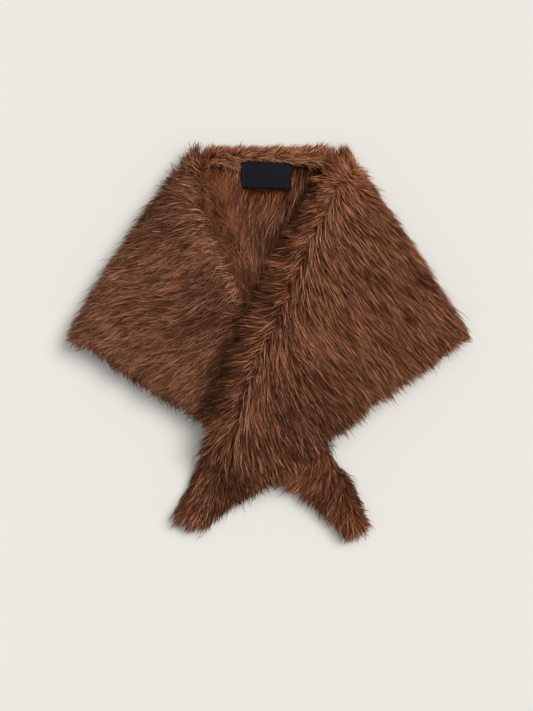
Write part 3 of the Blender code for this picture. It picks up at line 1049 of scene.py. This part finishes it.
def front_rows(sections, underside, troughs, fold_reach, neck_fall, tucks=()):
    """A front's middle, from its return under the shoulder fold to its tip.

    The cloth sinks by neck_fall's depth at the neck edge, over neck_fall's reach. That edge draws in
    at each tuck.
    """
    hem, neck = front_edges(sections)
    outward = fold_directions(sections)[1]
    shares = np.linspace(0, 1, FRONT_STEPS_ACROSS + 1)[:, None]
    arm = FOLD_OUTER_RADIUS - FRONT_THICKNESS / 2
    reach = fold_reach[0] * (1 - shares) + fold_reach[1] * shares

    def plan_row(hem_point, neck_point, neck_share=1.0):
        direction = unit(neck_point - hem_point)
        width = np.linalg.norm(neck_point - hem_point)
        widening = (width - TIP_WIDTHS[0]) / (TIP_WIDTHS[1] - TIP_WIDTHS[0])
        blunt = TIP_INSET_SHARE + (1 - TIP_INSET_SHARE) * smoothstep(widening)
        start = hem_point + direction * HEM_INSET * blunt
        inset = NECK_INSET * blunt * neck_share
        for tuck in tucks:
            away = np.linalg.norm(neck_point - np.array((tuck.x, tuck.y)) * MM) / (tuck.reach * MM)
            inset = inset + tuck.depth * MM * np.exp(-(away**2))
        end = neck_point - direction * inset
        return start * (1 - shares) + end * shares

    first = plan_row(hem[0], neck[0], 0)
    rows = [at_height(first - outward * FOLD_RETURN, FOLD_OUTER_RADIUS - arm)]
    for i in range(FOLD_STEPS):
        angle = pi * (1 - i / FOLD_STEPS)
        rows.append(at_height(first + outward * reach * sin(angle), FOLD_OUTER_RADIUS + arm * cos(angle)))
    for i, (hem_point, neck_point) in enumerate(zip(hem, neck)):
        row = plan_row(hem_point, neck_point, smoothstep(i / (1.5 * EDGE_STEPS)))
        from_neck = line_distance(row, neck) / neck_fall[1]
        fall = neck_fall[0] * (1 - smoothstep(from_neck)) * smoothstep(i / (2 * EDGE_STEPS))
        low = underside(row)
        fall = fall * smoothstep(low / BACK_LAYER)
        rows.append(at_height(row, low + FRONT_THICKNESS / 2 - sunk(row, troughs) - fall))
    return rows


def left_underside(places):
    return BACK_LAYER * cover(places, back_outline)


def line_run(places, line):
    """The way a line runs beside each place, in plan."""
    middle = (line[1:] + line[:-1]) / 2
    away = ((places[:, None, :2] - middle) ** 2).sum(2)
    return unit((1 / (away + (4 * MM) ** 2) ** 2) @ (line[1:] - line[:-1]))


class PartedComb:
    """A pile that turns away to both sides of a line beside the neck edge, mingled along that line.

    Close to the line it runs nearly along it, and it fans out from there.
    """

    def __init__(self, strip_naps, body_naps, neck, inset, fan_reach, fan_share, loose):
        self.strip = Comb(strip_naps, NAP_REACH)
        self.body = Comb(body_naps, NAP_REACH)
        self.neck = neck
        self.inset = inset
        self.fan_reach = fan_reach
        self.fan_share = fan_share
        self.loose = loose
        self.waver = Ripple(WAVER_SIZE, 3)

    def from_parting(self, places):
        """Distance from the parting, positive on the body's side."""
        return line_distance(places, self.neck) - self.inset + self.waver(places) * WAVER_DEPTH

    def sides(self, roots, source):
        mingled = source.normal(0, MINGLED, len(roots))
        return (self.from_parting(roots) + mingled > 0).astype(int)

    def parted(self, roots):
        return np.exp(-((self.from_parting(roots) / PARTED_WIDTH) ** 2))

    def softness(self, roots, sides):
        return np.where(sides > 0, self.body.facts_at(roots)[:, 4], self.strip.facts_at(roots)[:, 4])

    def looseness(self, roots, sides):
        below_whorl = smoothstep((WHORL_Y - roots[:, 1]) / WHORL_REACH)
        near = np.exp(-((line_distance(roots, self.neck) / LOOSE_WIDTH) ** 2))
        return self.loose * (1 - sides) * below_whorl * near

    def __call__(self, places, sides):
        facts = np.where(sides[:, None] > 0, self.body.facts_at(places), self.strip.facts_at(places))
        away = self.from_parting(places)
        below_whorl = smoothstep((WHORL_Y - places[:, 1]) / WHORL_REACH)
        near = below_whorl * np.exp(-((away / PARTING_WIDTH) ** 2))
        lift = facts[:, 2] * (1 - near) + PARTING_LIFT * near
        fan = (self.fan_share * below_whorl * np.exp(-((away / self.fan_reach) ** 2)))[:, None]
        way = unit(facts[:, :2]) * (1 - fan) + line_run(places, self.neck) * fan
        return np.arctan2(way[:, 1], way[:, 0]), lift, facts[:, 3] * (1 - 0.15 * near)


def front_furred(sections, over=None, hidden=0.0, thin_edge=0.0):
    """Thick where a front shows, thin on its underside, none inside the fold or under another front."""
    hem, neck = front_edges(sections)
    outward = fold_directions(sections)[1]

    def weight(place, facing):
        from_hem = line_distance(place, hem)
        from_neck = line_distance(place, neck)
        rim = np.minimum(from_hem, from_neck)
        past_fold = (place[:, :2] - hem[0]) @ outward
        out_of_fold = facing[:, :2] @ outward
        top = facing[:, 2] > -0.1
        low = place[:, 2] < FOLD_OUTER_RADIUS
        on_return = (past_fold > -RETURN_REACH) & low
        at_neck = (from_neck < NECK_RIM) & (place[:, 1] < WHORL_Y)
        thinned = thin_edge * smoothstep((WHORL_Y + 6 * MM - place[:, 1]) / (12 * MM))
        share = np.where(top, 1.0, np.where(at_neck, NECK_UNDERSIDE_SHARE, HEM_UNDERSIDE_SHARE))
        share *= 1 - thinned * np.exp(-((from_neck / EDGE_RIM) ** 2))
        within = ~top & ~low & (rim > UNDERSIDE_RIM)
        share[within] = 0
        share[~top & low | within & (place[:, 1] < TAIL_TOP_Y)] = LYING_SHARE
        share[(abs(facing[:, 2]) < 0.5) & (rim < EDGE_RIM) & (past_fold > -30 * MM)] = SIDE_SHARE
        within_fold = (past_fold > 0) & (out_of_fold < -0.05)
        within_fold |= on_return & top & (out_of_fold < 0.05)
        share[within_fold] = np.where(from_hem < FOLD_MOUTH, MOUTH_SHARE, 0)[within_fold]
        share[(past_fold > 0) & (facing[:, 2] < 0) & ~low] = 0
        if over is not None:
            share[edge_distance(place, over) > hidden] = 0
        return share

    return weight


LEFT_TROUGHS = table(
    Trough,
    (-100, 70, 15, 80, 18, 2.5),
    (-62, 118, 35, 50, 14, 2.0),
    (-150, 20, 20, 60, 16, 1.8),
)
LEFT_STRIP_NAPS = table(
    Nap,
    (-92, 226, 106, 48, 19, 0.6),
    (-80, 224, 90, 50, 20, 0.7),
    (-76, 212, 40, 66, 14, 1),
    (-78, 200, -40, 66, 13, 1),
    (-73, 178, -48, 68, 13, 1),
    (-62, 153, -50, 68, 13, 1),
    (-50, 130, -50, 68, 13, 1),
    (-38, 106, -52, 66, 13, 1),
    (-26, 82, -54, 58, 14, 1),
    (-16, 60, -62, 40, 20, 0.5),
    (0, 20, -72, 26, 26),
)
LEFT_BODY_NAPS = table(
    Nap,
    (-90, 224, 108, 48, 19, 0.6),
    (-98, 210, 138, 46, 20, 0.5),
    (-108, 196, 164, 38, 25, 0.3),
    (-88, 196, 160, 46, 19, 0.5),
    (-84, 178, 166, 44, 22, 0.3),
    (-129, 154, 200, 36, 30),
    (-106, 154, 190, 38, 30),
    (-74, 154, 168, 42, 25),
    (-154, 106, 198, 36, 30),
    (-130, 130, 190, 36, 30),
    (-106, 130, 197, 38, 30),
    (-62, 130, 172, 42, 24),
    (-84, 128, 204, 40, 28),
    (-130, 106, 201, 36, 30),
    (-106, 106, 210, 38, 30),
    (-50, 106, 176, 42, 24),
    (-76, 104, 215, 40, 28),
    (-154, 82, 196, 36, 30),
    (-130, 82, 192, 36, 30),
    (-106, 82, 206, 38, 30),
    (-70, 82, 209, 40, 28),
    (-46, 72, 205, 40, 26),
    (-178, 58, 204, 36, 30),
    (-154, 58, 189, 36, 30),
    (-130, 54, 180, 36, 30),
    (-100, 56, 198, 38, 30),
    (-70, 56, 213, 40, 30),
    (-40, 50, 200, 42, 26),
    (-200, 30, 210, 36, 28),
    (-178, 34, 207, 36, 30),
    (-154, 34, 194, 36, 30),
    (-130, 30, 176, 36, 30),
    (-100, 30, 190, 38, 30),
    (-70, 30, 211, 40, 30),
    (-40, 30, 196, 42, 26),
    (-222, 2, 208, 34, 20),
    (-208, -8, 236, 34, 10),
    (-196, 8, 208, 36, 28),
    (-154, 8, 203, 36, 30),
    (-116, 8, 198, 36, 30),
    (-82, 8, 222, 38, 30),
    (-50, 8, 210, 42, 26),
    (-190, -22, 224, 30, 12),
    (-154, -18, 196, 34, 28),
    (-120, -14, 205, 36, 30),
    (-82, -18, 212, 38, 30),
    (-150, -46, 232, 30, 18),
    (-116, -50, 212, 34, 26),
    (-82, -46, 212, 38, 28),
    (-100, -74, 232, 30, 22),
    (-66, -72, 205, 36, 26),
    (-70, -96, 222, 30, 26),
    (-40, -100, 210, 34, 22),
    (38, -152, 222, 36, 28),
    (62, -154, 240, 40, 24),
    (80, -140, 262, 44, 24),
    (78, -118, -60, 40, 9, 0.6),
    (84, -136, -66, 38, 9, 0.6),
    (96, -154, -26, 44, 14, 0.6),
    (54, -178, 236, 36, 22),
    (80, -178, 256, 40, 26),
    (106, -172, -30, 44, 14, 0.6),
    (74, -204, 243, 34, 20),
    (92, -206, -92, 38, 24),
    (116, -202, -32, 42, 15, 0.5),
    (112, -224, -62, 34, 25, 0.3),
    (98, -230, -94, 30, 24),
)
# Painted light on the strip beside the V, where light falls on the neck edge. Painted shade in the gap under
# the right front's edge. A few broad spots darken the body and tail or lighten the tail's edge.
LEFT_PAINTED_LIGHT_AND_SHADE = table(
    PaintedLight,
    (-74, 198, 17, 0.16),
    (-66, 170, 18, 0.22),
    (-46, 126, 18, 0.24),
    (-28, 84, 16, 0.20),
    (-118, 160, 34, -0.16),
    (-90, 150, 26, -0.06),
    (-24, 34, 9, -0.70),
    (-20, 20, 8, -0.60),
    (-28, 4, 8, -0.40),
    (-36, -16, 10, -0.80),
    (-44, -32, 9, -0.75),
    (-48, -46, 8, -0.40),
    (-55, -60, 10, -0.80),
    (-64, -78, 12, -0.50),
    (-54, 24, 34, -0.21),
    (-62, 66, 26, -0.14),
    (74, -166, 30, -0.17),
    (108, -190, 28, 0.07),
)
LEFT_PARTING = 9 * MM
LEFT_PARTED_POINTS = 40
LEFT_FAN_REACH = 14 * MM
LEFT_FAN_SHARE = 0.12
LEFT_FOLD_REACH = (16 * MM, 8 * MM)
LEFT_NECK_FALL = (12 * MM, 42 * MM)
LEFT_TUCKS = table(Tuck, (86, -132, 20, 9))
LEFT_HIDDEN = 24 * MM
LEFT_EDGE_X = -86 * MM
left_neck = front_edges(LEFT_SECTIONS)[1]
left_parting_line = left_neck[:LEFT_PARTED_POINTS]
left_nap = PartedComb(
    LEFT_STRIP_NAPS, LEFT_BODY_NAPS, left_parting_line, LEFT_PARTING, LEFT_FAN_REACH, LEFT_FAN_SHARE, 0
)
left_rows = front_rows(
    LEFT_SECTIONS, left_underside, LEFT_TROUGHS, LEFT_FOLD_REACH, LEFT_NECK_FALL, LEFT_TUCKS
)
left_front = cloth("left_front_cloth", left_rows, FRONT_BACKING)


def left_part(places):
    """The panel by the shoulder fold, the panel by the V of the neck, and the tail."""
    by_neck = places[:, 0] > LEFT_EDGE_X
    return np.where(places[:, 1] < TAIL_TOP_Y, 2, by_neck.astype(int))


left_fur = grow_fur(
    "left_front_fur",
    left_front,
    front_furred(LEFT_SECTIONS, right_outline, LEFT_HIDDEN),
    left_nap,
    OUTER_PILE._replace(unrule=12, lock_gather=0.12),
    41,
    LEFT_PAINTED_LIGHT_AND_SHADE,
    (("body", "edge", "tail"), left_part),
)
settle(left_front, outer_backing, "left_front")
# The left front's body and edge take the copy with painted sheen. Its tail takes the plain outer fur.
for piece, material in zip(left_fur, (painted_sheen_outer_fur, painted_sheen_outer_fur, outer_fur)):
    settle(piece, material, "left_front")

# Right front: made as the left one, folded at the right shoulder and laid over it. Its pile parts along a
# line beside the neck edge, and its end shows as the tip at the lower left.
# Painted light on the shoulder ridge that faces the light, in the whorl's pit and on the tip's left edge.
# Painted shade along the strip's overhanging edge. Broad spots darken the lower body and the tip.
RIGHT_PAINTED_LIGHT_AND_SHADE = table(
    PaintedLight,
    (104, 200, 32, 0.25),
    (96, 198, 9, 0.32),
    (56, 182, 17, -0.32),
    (42, 148, 17, -0.37),
    (28, 114, 17, -0.42),
    (14, 76, 17, -0.42),
    (2, 50, 18, -0.36),
    (-20, 6, 16, -0.40),
    (-36, -32, 16, -0.60),
    (-46, -66, 17, -0.55),
    (-60, -170, 60, -0.42),
    (-98, -160, 24, 0.20),
    (130, 40, 70, -0.03),
    (40, -80, 60, -0.29),
)
RIGHT_PARTING = 27 * MM
RIGHT_FAN_REACH = 13 * MM
RIGHT_FAN_SHARE = 0.5
RIGHT_FOLD_REACH = (17 * MM, 12 * MM)
SHOULDER_END_Y = 62 * MM
MIDDLE_END_Y = -40 * MM
RIGHT_NECK_FALL = (4 * MM, 30 * MM)
RIGHT_TROUGHS = table(
    Trough,
    (80, 90, -52, 90, 16, 2.2),
    (120, 30, -48, 70, 18, 2.4),
    (40, -10, -55, 60, 14, 1.8),
    (10, -90, -68, 70, 14, 2.0),
)
RIGHT_STRIP_NAPS = table(
    Nap,
    (76, 224, 100, 52, 15, 0.6),
    (72, 212, 140, 58, 14, 0.7),
    (62, 196, 184, 52, 15, 0.2),
    (54, 178, 188, 50, 15, 0.2),
    (40, 154, 190, 50, 19, 0.2),
    (26, 130, 182, 50, 23, 0.2),
    (18, 106, 188, 50, 26, 0.2),
    (8, 82, 176, 50, 26, 0.2),
    (0, 58, 175, 48, 26, 0.2),
    (-12, 34, 172, 48, 26, 0.2),
    (-24, 4, 184, 48, 26, 0.2),
    (-33, -20, 187, 46, 26, 0.2),
    (-45, -44, 192, 44, 26, 0.2),
    (-55, -68, 198, 42, 26, 0.2),
    (-60, -90, 204, 42, 24, 0.2),
    (-64, -113, 212, 38, 27, 0.2),
    (-76, -140, 231, 38, 22),
    (-88, -164, 236, 38, 20),
    (-100, -188, 222, 36, 24),
    (-106, -206, 232, 34, 27),
    (-106, -222, 240, 32, 29),
)
RIGHT_BODY_NAPS = table(
    Nap,
    (88, 224, 92, 58, 10, 0.7),
    (98, 214, 46, 54, 16, 0.8),
    (108, 206, 20, 46, 18, 0.7),
    (86, 208, 10, 68, 17, 0.9),
    (94, 200, -30, 66, 18, 0.9),
    (120, 192, -16, 46, 17, 0.6),
    (70, 178, -70, 42, 30),
    (100, 176, -46, 40, 28, 0.1),
    (132, 178, -34, 42, 18, 0.6),
    (154, 144, -38, 38, 22, 0.5),
    (178, 104, -38, 34, 24, 0.5),
    (202, 64, -38, 32, 25, 0.4),
    (62, 154, -66, 40, 32),
    (86, 154, -53, 36, 32),
    (110, 154, -50, 34, 32),
    (62, 130, -62, 38, 32),
    (86, 130, -57, 36, 32),
    (134, 130, -50, 34, 30),
    (44, 106, -78, 40, 32),
    (64, 106, -59, 36, 32),
    (110, 106, -52, 34, 32),
    (158, 106, -51, 32, 28),
    (40, 58, -80, 40, 32),
    (62, 58, -66, 36, 32),
    (86, 58, -55, 34, 32),
    (134, 58, -51, 34, 32),
    (182, 58, -52, 30, 28),
    (22, 10, -78, 40, 32),
    (40, 10, -60, 36, 32),
    (86, 10, -53, 34, 32),
    (134, 10, -49, 34, 32),
    (182, 10, -47, 32, 30),
    (218, 20, -40, 34, 26),
    (228, 2, -34, 34, 20),
    (206, -16, -48, 30, 20),
    (14, -14, -76, 40, 32),
    (38, -14, -58, 36, 32),
    (86, -14, -52, 34, 32),
    (158, -14, -48, 32, 30),
    (184, -30, -46, 28, 23),
    (14, -38, -75, 38, 32),
    (38, -38, -62, 36, 32),
    (62, -38, -50, 34, 32),
    (86, -38, -47, 34, 32),
    (134, -38, -52, 32, 30),
    (158, -50, -50, 28, 22),
    (-10, -62, -84, 38, 32),
    (14, -62, -72, 36, 32),
    (38, -62, -58, 34, 32),
    (86, -62, -47, 34, 32),
    (124, -74, -50, 28, 18),
    (-10, -86, -70, 36, 32),
    (38, -86, -57, 34, 32),
    (64, -90, -56, 34, 30),
    (-34, -110, -92, 38, 30),
    (-10, -110, -70, 36, 32),
    (14, -110, -64, 34, 32),
    (72, -112, -58, 32, 18),
    (-58, -134, -102, 38, 28),
    (-34, -134, -78, 36, 30),
    (14, -134, -62, 34, 30),
    (18, -162, -72, 30, 30),
    (50, -134, -60, 32, 22),
    (-58, -158, -92, 36, 28),
    (-34, -158, -80, 34, 28),
    (0, -160, -66, 30, 24),
    (-82, -182, -118, 36, 26),
    (-58, -182, -98, 34, 24),
    (-34, -184, -82, 30, 22),
    (-94, -206, -122, 34, 28),
    (-76, -206, -98, 32, 23),
    (-90, -224, -112, 30, 29),
)


def right_underside(places):
    return BACK_LAYER * cover(places, back_outline) + FRONT_LAYER * cover(places, left_outline)


right_neck = front_edges(RIGHT_SECTIONS)[1]
right_nap = PartedComb(
    RIGHT_STRIP_NAPS, RIGHT_BODY_NAPS, right_neck, RIGHT_PARTING, RIGHT_FAN_REACH, RIGHT_FAN_SHARE, 1
)
right_rows = front_rows(RIGHT_SECTIONS, right_underside, RIGHT_TROUGHS, RIGHT_FOLD_REACH, RIGHT_NECK_FALL)
right_front = cloth("right_front_cloth", [row[::-1] for row in right_rows], FRONT_BACKING)


def right_part(places):
    """The strip along the neck edge, then the panel from the shoulder down in three."""
    strip = line_distance(places, right_neck) < RIGHT_PARTING
    part = np.where(places[:, 1] > SHOULDER_END_Y, 1, np.where(places[:, 1] > MIDDLE_END_Y, 2, 3))
    return np.where(strip, 0, part)


right_fur = grow_fur(
    "right_front_fur",
    right_front,
    front_furred(RIGHT_SECTIONS, thin_edge=0.45),
    right_nap,
    OUTER_PILE._replace(tone=0.44, lock_gather=0.2, tuft_area=2.62),
    51,
    RIGHT_PAINTED_LIGHT_AND_SHADE,
    (("collar", "shoulder", "middle", "tip"), right_part),
)
settle(right_front, outer_backing, "right_front")
for piece in right_fur:
    settle(piece, outer_fur, "right_front")

# Label: a plain woven tab of black satin thread, its ends turned under and stitched to the inner fur. It
# is left bare.
LABEL_COLOUR = (0.0050, 0.0057, 0.0100, 1)
LABEL_THICKNESS = 0.9 * MM
LABEL_LEVEL = 20.0 * MM
LABEL_CORNER = 2.2 * MM
LABEL_LOOSE_CORNER = 5.0 * MM
LABEL_HEM = 4 * MM
SEAM_DEPTH = 0.35 * MM
SEAM_WIDTH = 1.2 * MM
LABEL_HALF = np.array(LABEL_SIZE) / 2
bpy.ops.object.select_all(action="DESELECT")
bpy.ops.mesh.primitive_grid_add(x_subdivisions=60, y_subdivisions=30, size=1)
label = bpy.context.object
label.name = "label_tab"
for vertex in label.data.vertices:
    at = np.array(vertex.co[:2]) * LABEL_SIZE
    loose = at[0] < 0 < at[1]
    corner = LABEL_LOOSE_CORNER if loose else LABEL_CORNER
    past = abs(at) - (LABEL_HALF - corner)
    if past.min() > 0:
        at = np.sign(at) * (LABEL_HALF - corner + past * past.max() / np.hypot(*past))
    from_seam = LABEL_HALF[0] - LABEL_HEM - abs(at[0])
    seam = SEAM_DEPTH * np.exp(-((from_seam / SEAM_WIDTH) ** 2))
    swell = 0.5 * MM * sin(vertex.co.x * 7 + 1) + 0.3 * MM * cos(vertex.co.y * 6) - seam
    turned_x = at[0] * cos(LABEL_TURN) - at[1] * sin(LABEL_TURN)
    turned_y = at[1] * cos(LABEL_TURN) + at[0] * sin(LABEL_TURN)
    vertex.co = Vector((turned_x + LABEL_CENTRE[0], turned_y + LABEL_CENTRE[1], LABEL_LEVEL + swell))
give_wall(label, LABEL_THICKNESS)
label.data.shade_smooth()
label_material = bpy.data.materials.new("black_satin_tape")
label_material.use_nodes = True
label_nodes = label_material.node_tree.nodes
label_link = label_material.node_tree.links.new
label_shader = label_nodes["Principled BSDF"]
set_inputs(label_shader, {"Base Color": LABEL_COLOUR, "Roughness": 0.7, "Specular IOR Level": 0.14})
label_place = label_nodes.new("ShaderNodeTexCoord")
threads = []
for direction, scale in (("Y", 420), ("X", 300)):
    thread = add_node(label_nodes, "ShaderNodeTexWave", bands_direction=direction)
    set_inputs(thread, {"Scale": scale, "Distortion": 0.6})
    label_link(label_place.outputs["Object"], thread.inputs["Vector"])
    threads.append(thread.outputs["Fac"])
weave = worked_out(label_material.node_tree, "MULTIPLY", *threads)
label_bump = label_nodes.new("ShaderNodeBump")
set_inputs(label_bump, {"Distance": 0.15 * MM, "Strength": 0.6})
label_link(weave, label_bump.inputs["Height"])
label_link(label_bump.outputs["Normal"], label_shader.inputs["Normal"])
settle(label, label_material, "label")
